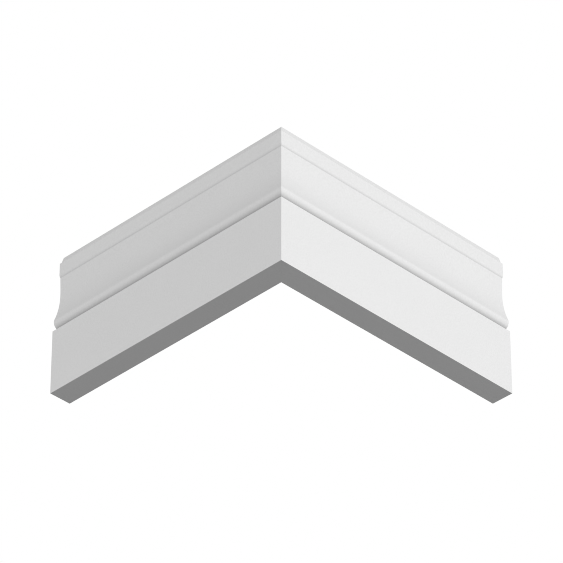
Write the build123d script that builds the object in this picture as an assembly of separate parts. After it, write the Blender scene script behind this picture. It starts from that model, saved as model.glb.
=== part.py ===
from build123d import *
import os
from math import atan2, cos, degrees, radians, sin, sqrt, tan

# Skirting board mitred round an outside corner of a wall: two straight lengths of one
# moulding. The origin is the foot of the wall's corner, +Z is up, the right board runs
# along +X with its back on the plane y = 0, and the left board is its mirror image.
# Sizes are in millimetres and angles in degrees.

# The boards as a whole
board_height = 130.0
board_thickness = 20.0
wall_length = 227.2
wall_angle = 90.0

# Plinth, the plain face at the foot
plinth_height = 56.85
arris_radius = 0.2

# Bead over the plinth, set off from it by an upright quirk
quirk_height = 3.65
bead_radius = 5.7
bead_setback = 0.95
bead_return = 70.0

# Cove, a plain run that leans back under the band, then a hollow sweep out onto the bead
cove_lean = 2.7
cove_radius = 66.0

# Band, a flat fillet with a rounded lower edge
band_depth = 15.05
band_face_height = 10.7
band_round_radius = 3.55
band_round_return = 45.0

# Splayed top above the band
top_height = 7.4
top_depth = 11.2
top_foot_depth = 13.8
top_edge_radius = 0.4


def on_circle(centre, radius, angle):
    """The point at an angle on a circle, counted from straight out of the wall, upwards."""
    return (centre[0] + radius * cos(radians(angle)), centre[1] + radius * sin(radians(angle)))


def cove_centre(groove, bead_centre):
    """Centre of the hollow that runs smoothly from the plain run below the groove onto the bead.

    It is one cove radius out from the plain run, and a cove radius and a bead radius from the
    bead's centre. Of the two such points it is the upper one.
    """
    lean = radians(cove_lean)
    out = Vector(cos(lean), -sin(lean))
    down = Vector(-sin(lean), -cos(lean))
    beside_groove = Vector(*groove) + out * cove_radius
    from_bead = beside_groove - Vector(*bead_centre)
    run = -from_bead.dot(down) - sqrt((cove_radius + bead_radius) ** 2 - from_bead.dot(out) ** 2)
    centre = beside_groove + down * run
    return (centre.X, centre.Y)


def section():
    """The moulding's section: x is the depth out from the wall and y the height."""
    plinth_edge = (board_thickness, plinth_height)
    bead_centre = (
        board_thickness - bead_setback - bead_radius,
        plinth_height + quirk_height + bead_radius * sin(radians(bead_return)),
    )
    bead_foot = on_circle(bead_centre, bead_radius, -bead_return)
    quirk_foot = (bead_foot[0], plinth_height)

    band_top = board_height - top_height
    band_edge = (band_depth, band_top)
    round_centre = (band_depth - band_round_radius, band_top - band_face_height)
    groove = on_circle(round_centre, band_round_radius, -band_round_return)

    hollow_centre = cove_centre(groove, bead_centre)
    rise = (hollow_centre[0] - bead_centre[0], hollow_centre[1] - bead_centre[1])
    meeting_angle = degrees(atan2(rise[1], rise[0]))
    run_foot = on_circle(hollow_centre, cove_radius, 180 - cove_lean)

    top_foot = (top_foot_depth, band_top)
    top_edge = (top_depth, board_height)

    with BuildSketch() as moulding:
        with BuildLine():
            Polyline((0, 0), (board_thickness, 0), plinth_edge, quirk_foot, bead_foot)
            CenterArc(bead_centre, bead_radius, -bead_return, bead_return + meeting_angle)
            CenterArc(hollow_centre, cove_radius, 180 + meeting_angle, -meeting_angle - cove_lean)
            Line(run_foot, groove)
            CenterArc(round_centre, band_round_radius, -band_round_return, band_round_return)
            Polyline((band_depth, round_centre[1]), band_edge, top_foot, top_edge, (0, board_height), (0, 0))
        make_face()
        eased = [(board_thickness, 0), plinth_edge, band_edge]
        for corner in eased:
            fillet(moulding.vertices().sort_by_distance(corner)[0], arris_radius)
        fillet(moulding.vertices().sort_by_distance(top_edge)[0], top_edge_radius)
    return moulding.sketch


def mitre_plane():
    """The upright plane that halves the wall's corner, facing the right board."""
    half = radians(wall_angle / 2)
    return Plane(origin=(0, 0, 0), x_dir=(cos(half), sin(half), 0), z_dir=(sin(half), -cos(half), 0))


def right_board():
    """The section run from the square end to past the corner, then sawn on the mitre."""
    end = Plane(origin=(wall_length, 0, 0), x_dir=(0, -1, 0), z_dir=(-1, 0, 0))
    past_corner = board_thickness / tan(radians(wall_angle / 2)) + board_thickness
    stock = extrude(end * section(), wall_length + past_corner)
    return split(stock, bisect_by=mitre_plane(), keep=Keep.TOP)


right = right_board()
boards = {
    "right_board": right,
    "left_board": mirror(right, about=mitre_plane()),
}

os.makedirs("parts", exist_ok=True)
for name, board in boards.items():
    board.label = name
    export_step(board, f"parts/{name}.step")
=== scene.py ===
from math import acos, atan2, ceil, cos, degrees, pi, radians, sin, sqrt, tan

import bpy
import numpy as np
from mathutils import Matrix, Vector


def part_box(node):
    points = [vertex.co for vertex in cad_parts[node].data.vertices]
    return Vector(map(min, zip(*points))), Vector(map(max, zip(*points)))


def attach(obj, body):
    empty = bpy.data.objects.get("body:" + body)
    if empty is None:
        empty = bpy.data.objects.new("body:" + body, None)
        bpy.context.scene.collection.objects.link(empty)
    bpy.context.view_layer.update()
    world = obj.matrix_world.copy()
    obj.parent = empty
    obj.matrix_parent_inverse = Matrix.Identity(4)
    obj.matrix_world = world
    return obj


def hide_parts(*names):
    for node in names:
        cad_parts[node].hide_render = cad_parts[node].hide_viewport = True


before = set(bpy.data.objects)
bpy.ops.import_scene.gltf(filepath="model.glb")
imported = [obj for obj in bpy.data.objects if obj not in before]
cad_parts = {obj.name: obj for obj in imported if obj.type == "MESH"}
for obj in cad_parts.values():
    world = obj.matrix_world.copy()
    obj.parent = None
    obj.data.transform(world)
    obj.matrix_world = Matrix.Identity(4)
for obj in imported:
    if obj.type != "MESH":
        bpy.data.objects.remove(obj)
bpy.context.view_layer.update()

# A white skirting board mitred round an outside corner, seen from below its foot. Both boards are
# one moulded section carried along a straight path. Sizes are in metres and angles in degrees.
MM = 0.001

# Overall sizes, taken from the frame
board_low, board_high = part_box("right_board")
board_height = board_high.z
board_thickness = -board_low.y
wall_length = board_high.x

# The moulding's section, from the floor up
plinth_height = 56.85 * MM
arris_radius = 0.2 * MM
quirk_height = 3.65 * MM
bead_radius = 5.7 * MM
bead_setback = 0.95 * MM
bead_return = 70.0
cove_lean = 2.7
cove_radius = 66.0 * MM
band_depth = 15.05 * MM
band_face_height = 10.7 * MM
band_round_radius = 3.55 * MM
band_round_return = 45.0
top_height = 7.4 * MM
top_depth = 11.2 * MM
top_foot_depth = 13.8 * MM
top_edge_radius = 0.4 * MM

# How finely the surface is drawn, and the edge that a saw takes off its cuts
arc_step = 3.0
arris_step = 15.0
crease_angle = 25.0
station_spacing = 25.0 * MM
saw_bevel = 0.05 * MM

# The foam's gloss: its refractive index, how little it shines, and how rough each surface is
polystyrene_ior = 1.59
polystyrene_shine = 0.15
skin_roughness = (0.74, 0.86)
sawn_roughness = 0.9

# Patterns of the finishes, at real sizes. The skin's grain and peel and the sawn cells are about 0.4 mm
# across on the real foam, which is finer than the picture can show, so they are drawn coarser.
tone_patch = 30.0 * MM
tone_grain = 1.1 * MM
tone_contrast = 0.05
die_line_length = 120.0 * MM
die_line_width = 1.8 * MM
die_line_depth = 0.004 * MM
peel_size = 1.4 * MM
peel_depth = 0.012 * MM
cell_size = 0.9 * MM
cell_depth = 0.12 * MM
saw_mark_spacing = 1.6 * MM
saw_mark_depth = 0.03 * MM
saw_mark_wander = 1.5
saw_radius = 125.0 * MM

# The camera, well below the boards' feet and far off, looks up at the corner through a long lens
image_pixels = 563
focal_pixels = 4227.0
sensor_mm = 36.0
camera_bearing = 45.0
camera_elevation = 35.016
camera_distance = 3.0767
aim_right = 0.17 * MM
aim_up = 0.58 * MM

# The light: an even sky, two narrow lamps on one bearing for the fronts, a broad one behind for the backs,
# and a narrow one above that for the ledges
sky_strength = 0.1243
narrow_spread = 4.0
broad_spread = 20.0
front_bearing = -122.7
low_elevation = -15.724
low_strength = 1.649
high_elevation = 9.383
high_strength = 1.609
back_bearing = 45.0
back_elevation = 34.8
back_strength = 2.3
ledge_elevation = 55.4
ledge_strength = 1.0

# The floor: how far it reaches, how far under the feet it lies, and how it whitens with distance
floor_reach = 8.0
floor_gap = 0.2 * MM
plain_radius = 0.35
white_radius = 1.2
plain_glow = 0.5


def linear(hex_colour):
    """An sRGB hex colour as linear red, green, blue and alpha."""
    srgb = np.array([int(hex_colour[i : i + 2], 16) for i in (1, 3, 5)]) / 255
    light = np.where(srgb <= 0.04045, srgb / 12.92, ((srgb + 0.055) / 1.055) ** 2.4)
    return (*light.tolist(), 1.0)


def add_node(tree, kind, inputs=None, **settings):
    """Adds one node, sets its properties, and sets or links each named or numbered input."""
    node = tree.nodes.new(kind)
    for key, value in settings.items():
        setattr(node, key, value)
    for key, value in (inputs or {}).items():
        if isinstance(value, bpy.types.NodeSocket):
            tree.links.new(value, node.inputs[key])
        else:
            node.inputs[key].default_value = value
    return node


# The section


def arc(centre, radius, start, stop, step=arc_step):
    """Points round a circle: centre + radius * (cos a, sin a), for even angles a from start to stop."""
    count = max(2, ceil(abs(stop - start) / step))
    angle = np.radians(np.linspace(start, stop, count + 1))
    return np.column_stack((centre[0] + radius * np.cos(angle), centre[1] + radius * np.sin(angle)))


def eased(before, corner, after, radius):
    """A corner between two straight edges, rounded by the circle that touches both of them."""
    before, corner, after = (np.array(point, float) for point in (before, corner, after))
    back = (before - corner) / np.linalg.norm(before - corner)
    onward = (after - corner) / np.linalg.norm(after - corner)
    half = acos(float(back @ onward)) / 2
    middle = (back + onward) / np.linalg.norm(back + onward)
    centre = corner + middle * radius / sin(half)
    first = corner + back * radius / tan(half) - centre
    last = corner + onward * radius / tan(half) - centre
    start = degrees(atan2(first[1], first[0]))
    turn = (degrees(atan2(last[1], last[0])) - start + 180) % 360 - 180
    return arc(centre, radius, start, start + turn, arris_step)


def cove_centre(groove, bead_centre):
    """Centre of the hollow that runs smoothly from the plain run below the groove onto the bead.

    It is one cove radius out from the plain run, and a cove radius and a bead radius from the
    bead's centre. Of the two such points it is the upper one.
    """
    out = np.array((cos(radians(cove_lean)), -sin(radians(cove_lean))))
    down = np.array((out[1], -out[0]))
    beside_groove = groove + out * cove_radius
    from_bead = beside_groove - bead_centre
    run = -from_bead @ down - sqrt((cove_radius + bead_radius) ** 2 - (from_bead @ out) ** 2)
    return beside_groove + down * run


def section():
    """The moulding's outline as (depth, height) points, anticlockwise from the foot of its back.

    Straight runs and eased arrises make the plinth, the band, the top and the run below the band.
    The bead, the hollow that runs smoothly onto it, and the band's rounded lower edge are arcs.
    """
    heel = (0, 0)
    foot = (board_thickness, 0)
    plinth_edge = (board_thickness, plinth_height)
    bead_centre = (
        board_thickness - bead_setback - bead_radius,
        plinth_height + quirk_height + bead_radius * sin(radians(bead_return)),
    )
    band_top = board_height - top_height
    band_foot = (band_depth, band_top - band_face_height)
    band_edge = (band_depth, band_top)
    round_centre = (band_depth - band_round_radius, band_foot[1])
    band_round = arc(round_centre, band_round_radius, -band_round_return, 0)

    hollow_centre = cove_centre(band_round[0], bead_centre)
    rise = hollow_centre - bead_centre
    meeting_angle = degrees(atan2(rise[1], rise[0]))
    bead = arc(bead_centre, bead_radius, -bead_return, meeting_angle)
    hollow = arc(hollow_centre, cove_radius, 180 + meeting_angle, 180 - cove_lean)
    quirk_foot = (bead[0][0], plinth_height)

    top_foot = (top_foot_depth, band_top)
    top_edge = (top_depth, board_height)
    top_back = (0, board_height)
    return np.vstack(
        (
            [heel],
            eased(heel, foot, plinth_edge, arris_radius),
            eased(foot, plinth_edge, quirk_foot, arris_radius),
            [quirk_foot],
            bead,
            hollow[1:],
            band_round,
            eased(band_foot, band_edge, top_foot, arris_radius),
            [top_foot],
            eased(top_foot, top_edge, top_back, top_edge_radius),
            [top_back],
        )
    )


def inward(outline):
    """At each point of a closed outline, the step inwards that sets both its edges back by one."""
    edge = np.roll(outline, -1, 0) - outline
    edge /= np.linalg.norm(edge, axis=1)[:, None]
    normal = np.column_stack((-edge[:, 1], edge[:, 0]))
    before = np.roll(normal, 1, 0)
    return (normal + before) / (1 + (normal * before).sum(1))[:, None]


def edge_normals(outline):
    """Outward normals at the start and at the stop of each edge of a closed outline.

    Where two edges meet gently the normal is their mean, weighted by length, so flats stay flat and
    arcs look round. At a crease each edge keeps its own.
    """
    edge = np.roll(outline, -1, 0) - outline
    length = np.linalg.norm(edge, axis=1)[:, None]
    own = np.column_stack((edge[:, 1], -edge[:, 0])) / length
    before = np.roll(own, 1, 0)
    mean = own * length + before * np.roll(length, 1, 0)
    mean /= np.linalg.norm(mean, axis=1)[:, None]
    gentle = ((own * before).sum(1) > cos(radians(crease_angle)))[:, None]
    return np.where(gentle, mean, own), np.roll(np.where(gentle, mean, before), -1, 0)


# The boards


def rings(outline):
    """Length, depth and height of every point of a board, with one row for each ring of its surface.

    A ring is the outline at one station. At the square end its length is the board's, at the mitre
    it is minus the depth, and between them the two are mixed evenly. The first and last ring are set
    in by the saw's bevel, and the rings beside them stand back from the cut by as much.
    """
    stations = np.linspace(0, 1, ceil(wall_length / station_spacing))
    share = np.concatenate(([0], stations, [1]))[:, None]
    inset = np.zeros(share.shape)
    inset[[0, -1]] = saw_bevel
    setback = saw_bevel - inset
    depth, height = np.moveaxis(outline + inset[:, :, None] * inward(outline), 2, 0)
    length = (1 - share) * (wall_length - setback) + share * (setback - depth)
    return length, depth, height


def board(name, node, outline, mirrored, finishes):
    """A straight board: a four-sided face for each edge between two rings, and one over each cut."""
    length, depth, height = rings(outline)
    places = np.stack((length, -depth, height), 2)
    strips = len(length) - 1
    count = len(outline)
    strip, edge = np.meshgrid(np.arange(strips), np.arange(count), indexing="ij")
    start = strip * count + edge
    stop = strip * count + (edge + 1) % count
    quads = np.stack((start, stop, stop + count, start + count), 2).reshape(-1, 4)
    end_cut = np.arange(count)[::-1]
    mitre_cut = np.arange(count) + strips * count

    # Each corner's normal, and its place on a map that runs along the board and round its section
    first, last = edge_normals(outline)
    turned = np.stack((first, last, last, first), 1)
    turned = np.stack((np.zeros(turned.shape[:2]), -turned[..., 0], turned[..., 1]), 2)
    normals = np.tile(turned, (strips, 1, 1))
    reach = np.linalg.norm(np.roll(outline, -1, 0) - outline, axis=1)
    until = np.cumsum(reach)
    around = np.tile(np.stack((until - reach, until, until, until - reach), 1), (strips, 1))
    chart = np.stack((length.ravel()[quads], around), 2)

    # The mirror image swaps the two walls, and its faces run the other way to point outwards
    if mirrored:
        places, normals = places[..., [1, 0, 2]], normals[:, ::-1, [1, 0, 2]]
        quads, chart = quads[:, ::-1], chart[:, ::-1]
        end_cut, mitre_cut = end_cut[::-1], mitre_cut[::-1]
    cuts = np.concatenate((end_cut, mitre_cut))
    cut_chart = np.column_stack((depth.ravel()[cuts], height.ravel()[cuts]))

    mesh = bpy.data.meshes.new(name)
    faces = quads.tolist() + [end_cut.tolist(), mitre_cut.tolist()]
    mesh.from_pydata(places.reshape(-1, 3).tolist(), [], faces)
    for finish in finishes:
        mesh.materials.append(finish)
    sawn = np.zeros(len(faces), np.int32)
    sawn[-2:] = 1
    mesh.polygons.foreach_set("material_index", sawn)
    along = mesh.uv_layers.new(name="along_board")
    along.uv.foreach_set("vector", np.vstack((chart.reshape(-1, 2), cut_chart)).ravel())

    # Bevels and cuts are flat, and every other face turns with the section
    flat = np.empty(3 * len(faces))
    mesh.polygons.foreach_get("normal", flat)
    flat = flat.reshape(-1, 3)
    normals[:count] = flat[:count, None]
    normals[-count:] = flat[len(quads) - count : len(quads), None]
    cut_normals = np.repeat(flat[-2:], count, 0)
    mesh.shade_smooth()
    mesh.normals_split_custom_set(np.vstack((normals.reshape(-1, 3), cut_normals)).tolist())

    piece = bpy.data.objects.new(name, mesh)
    bpy.context.collection.objects.link(piece)
    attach(piece, "root")
    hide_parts(node)


# Finishes


def white_foam(name):
    """A material with white polystyrene's gloss, its node tree and its shader."""
    finish = bpy.data.materials.new(name)
    finish.use_nodes = True
    shader = finish.node_tree.nodes["Principled BSDF"]
    shader.inputs["IOR"].default_value = polystyrene_ior
    shader.inputs["Specular IOR Level"].default_value = polystyrene_shine
    return finish, finish.node_tree, shader


def extruded_polystyrene():
    """High-density polystyrene foam as it leaves the die, white all through with a closed, matt skin.

    The eye gets an almost even white. The die draws faint lines along the board, the foam under the
    skin leaves a shallow peel, and the tone wanders a little from place to place.
    """
    finish, tree, shader = white_foam("extruded_polystyrene")
    place = add_node(tree, "ShaderNodeTexCoord").outputs["Object"]
    patches = add_node(tree, "ShaderNodeTexNoise", {"Vector": place, "Scale": 1 / tone_patch})
    white = add_node(
        tree,
        "ShaderNodeMix",
        {"Factor": patches.outputs["Fac"], "A": linear("#ECECEC"), "B": linear("#EEEEEE")},
        data_type="RGBA",
    )
    grain = add_node(tree, "ShaderNodeTexNoise", {"Vector": place, "Scale": 1 / tone_grain, "Detail": 0.0})
    speckle = add_node(
        tree,
        "ShaderNodeMapRange",
        {"Value": grain.outputs["Fac"], "To Min": 1 - tone_contrast, "To Max": 1 + tone_contrast},
    )
    speckled = add_node(
        tree,
        "ShaderNodeMix",
        {"Factor": 1.0, "A": white.outputs["Result"], "B": speckle.outputs["Result"]},
        data_type="RGBA",
        blend_type="MULTIPLY",
    )
    tree.links.new(speckled.outputs["Result"], shader.inputs["Base Color"])

    # The die's lines are a noise drawn out along the board, and most of its values lie in this range
    line_low, line_high = 0.3, 0.7
    chart = add_node(tree, "ShaderNodeUVMap", uv_map="along_board").outputs["UV"]
    drawn = add_node(
        tree,
        "ShaderNodeMapping",
        {"Vector": chart, "Scale": (1 / die_line_length, 1 / die_line_width, 1.0)},
    )
    lines = add_node(tree, "ShaderNodeTexNoise", {"Vector": drawn.outputs[0], "Scale": 1.0, "Detail": 2.0})
    matt = add_node(
        tree,
        "ShaderNodeMapRange",
        {
            "Value": lines.outputs["Fac"],
            "From Min": line_low,
            "From Max": line_high,
            "To Min": skin_roughness[0],
            "To Max": skin_roughness[1],
        },
    )
    tree.links.new(matt.outputs["Result"], shader.inputs["Roughness"])

    peel = add_node(tree, "ShaderNodeTexNoise", {"Vector": place, "Scale": 1 / peel_size, "Detail": 1.0})
    line_height = add_node(
        tree,
        "ShaderNodeBump",
        {"Distance": die_line_depth, "Height": lines.outputs["Fac"]},
    )
    peel_height = add_node(
        tree,
        "ShaderNodeBump",
        {"Distance": peel_depth, "Height": peel.outputs["Fac"], "Normal": line_height.outputs[0]},
    )
    tree.links.new(peel_height.outputs[0], shader.inputs["Normal"])
    return finish


def sawn_polystyrene():
    """The same foam where a circular saw has opened its cells.

    The eye gets a rougher, slightly greyer white: small pits side by side, their colour darker towards
    each hollow as painted shade, crossed by the shallow arcs that the blade's teeth leave.
    """
    finish, tree, shader = white_foam("sawn_polystyrene")
    shader.inputs["Roughness"].default_value = sawn_roughness
    place = add_node(tree, "ShaderNodeTexCoord").outputs["Object"]
    cells = add_node(tree, "ShaderNodeTexVoronoi", {"Vector": place, "Scale": 1 / cell_size})
    # Painted shade: the colour is darker at each cell's centre, where the bump below makes the pit deepest
    white = add_node(
        tree,
        "ShaderNodeMix",
        {"Factor": cells.outputs["Distance"], "A": linear("#E0E0DE"), "B": linear("#EEEEEC")},
        data_type="RGBA",
    )
    tree.links.new(white.outputs["Result"], shader.inputs["Base Color"])

    # A wave at scale 1 has this many rings to the metre
    rings_per_metre = 20 / (2 * pi)
    chart = add_node(tree, "ShaderNodeUVMap", uv_map="along_board").outputs["UV"]
    blade = add_node(tree, "ShaderNodeMapping", {"Vector": chart, "Location": (saw_radius, 0.0, 0.0)})
    marks = add_node(
        tree,
        "ShaderNodeTexWave",
        {
            "Vector": blade.outputs[0],
            "Scale": 1 / (saw_mark_spacing * rings_per_metre),
            "Distortion": saw_mark_wander,
            "Detail": 1.0,
        },
        wave_type="RINGS",
        rings_direction="SPHERICAL",
    )
    mark_height = add_node(
        tree,
        "ShaderNodeBump",
        {"Distance": saw_mark_depth, "Height": marks.outputs["Fac"]},
    )
    cell_height = add_node(
        tree,
        "ShaderNodeBump",
        {"Distance": cell_depth, "Height": cells.outputs["Distance"], "Normal": mark_height.outputs[0]},
    )
    tree.links.new(cell_height.outputs[0], shader.inputs["Normal"])
    return finish


# The studio


def studio_floor():
    """A pale floor under the boards' feet, which fades to white and is clear when seen from below."""
    corners = np.array([(-1, -1), (1, -1), (1, 1), (-1, 1)]) * floor_reach
    mesh = bpy.data.meshes.new("floor")
    mesh.from_pydata([(x, y, -floor_gap) for x, y in corners.tolist()], [], [(0, 1, 2, 3)])
    floor = bpy.data.objects.new("floor", mesh)
    bpy.context.collection.objects.link(floor)

    finish = bpy.data.materials.new("pale_floor")
    finish.use_nodes = True
    tree = finish.node_tree
    tree.nodes.clear()
    place = add_node(tree, "ShaderNodeTexCoord")
    distance = add_node(tree, "ShaderNodeVectorMath", {0: place.outputs["Object"]}, operation="LENGTH")
    glow = add_node(
        tree,
        "ShaderNodeMapRange",
        {
            "Value": distance.outputs["Value"],
            "From Min": plain_radius,
            "From Max": white_radius,
            "To Min": plain_glow,
        },
        interpolation_type="SMOOTHSTEP",
    )
    pale = add_node(tree, "ShaderNodeBsdfDiffuse", {"Color": linear("#F2F2F0")})
    white = add_node(tree, "ShaderNodeEmission", {"Color": linear("#FFFFFF"), "Strength": 1.0})
    top = add_node(
        tree,
        "ShaderNodeMixShader",
        {0: glow.outputs[0], 1: pale.outputs[0], 2: white.outputs[0]},
    )
    clear = add_node(tree, "ShaderNodeBsdfTransparent")
    side = add_node(tree, "ShaderNodeNewGeometry")
    both = add_node(
        tree,
        "ShaderNodeMixShader",
        {0: side.outputs["Backfacing"], 1: top.outputs[0], 2: clear.outputs[0]},
    )
    add_node(tree, "ShaderNodeOutputMaterial", {"Surface": both.outputs[0]})
    mesh.materials.append(finish)

    # The floor and its glow are for the eye only, so the light on the boards comes from the lamps and sky
    finish.cycles.emission_sampling = "NONE"
    floor.visible_diffuse = False
    floor.visible_glossy = False
    floor.visible_transmission = False
    floor.visible_shadow = False


def sky():
    """White where the eye or a reflection meets it, and an even dim light on everything else."""
    world = bpy.data.worlds.new("studio")
    bpy.context.scene.world = world
    world.use_nodes = True
    tree = world.node_tree
    tree.nodes.clear()
    path = add_node(tree, "ShaderNodeLightPath")
    glossy = add_node(
        tree,
        "ShaderNodeMath",
        {0: path.outputs["Is Camera Ray"], 1: path.outputs["Is Glossy Ray"]},
        operation="MAXIMUM",
    )
    seen = add_node(
        tree,
        "ShaderNodeMath",
        {0: glossy.outputs[0], 1: path.outputs["Is Transmission Ray"]},
        operation="MAXIMUM",
    )
    dim = add_node(tree, "ShaderNodeBackground", {"Color": linear("#FFFFFF"), "Strength": sky_strength})
    white = add_node(tree, "ShaderNodeBackground", {"Color": linear("#FFFFFF"), "Strength": 1.0})
    mixed = add_node(
        tree,
        "ShaderNodeMixShader",
        {0: seen.outputs[0], 1: dim.outputs[0], 2: white.outputs[0]},
    )
    add_node(tree, "ShaderNodeOutputWorld", {"Surface": mixed.outputs[0]})
    # An even light is smoother in the picture when it isn't sampled as a lamp
    world.cycles.sampling_method = "NONE"


def direction(bearing, elevation):
    """The way out on a bearing, counted from +X towards +Y, and at an elevation above the floor."""
    turn, rise = radians(bearing), radians(elevation)
    return Vector((cos(turn) * cos(rise), sin(turn) * cos(rise), sin(rise)))


def lamp(name, bearing, elevation, strength, spread, shadow=True):
    """A distant lamp that stands in a direction, and is as soft as the angle it spans."""
    light = bpy.data.lights.new(name, "SUN")
    light.energy = strength
    light.angle = radians(spread)
    light.use_shadow = shadow
    made = bpy.data.objects.new(name, light)
    made.rotation_mode = "QUATERNION"
    made.rotation_quaternion = direction(bearing, elevation).to_track_quat("Z", "Y")
    bpy.context.collection.objects.link(made)


def camera():
    """Looks along the mitre's bisector and up, with the photograph's long lens."""
    ahead = direction(camera_bearing, camera_elevation)
    right = ahead.cross(Vector((0, 0, 1))).normalized()
    up = right.cross(ahead)
    lens = bpy.data.cameras.new("camera")
    lens.sensor_width = sensor_mm
    lens.lens = sensor_mm * focal_pixels / image_pixels
    seen_from = bpy.data.objects.new("camera", lens)
    place = Matrix((right, up, -ahead)).transposed().to_4x4()
    place.translation = right * aim_right + up * aim_up - ahead * camera_distance
    seen_from.matrix_world = place
    bpy.context.collection.objects.link(seen_from)
    bpy.context.scene.camera = seen_from


outline = section()
finishes = (extruded_polystyrene(), sawn_polystyrene())
board("right_board_moulding", "right_board", outline, False, finishes)
board("left_board_moulding", "left_board", outline, True, finishes)

studio_floor()
sky()
# The low lamp lights the boards from under their feet, as the photograph's light does. The ledge lamp
# is a fill from above and behind, which misses every face that the camera sees.
lamp("low_lamp", front_bearing, low_elevation, low_strength, narrow_spread)
lamp("high_lamp", front_bearing, high_elevation, high_strength, narrow_spread)
lamp("back_lamp", back_bearing, back_elevation, back_strength, broad_spread)
lamp("ledge_lamp", back_bearing, ledge_elevation, ledge_strength, narrow_spread, shadow=False)
camera()
bpy.context.scene.view_settings.view_transform = "Standard"
# The quirk and the groove are as dark as the photograph's, with no light from their own sides
bpy.context.scene.cycles.diffuse_bounces = 0
# The photograph's edges are crisp, so a pixel takes in little more than its own square
bpy.context.scene.cycles.filter_width = 1.0
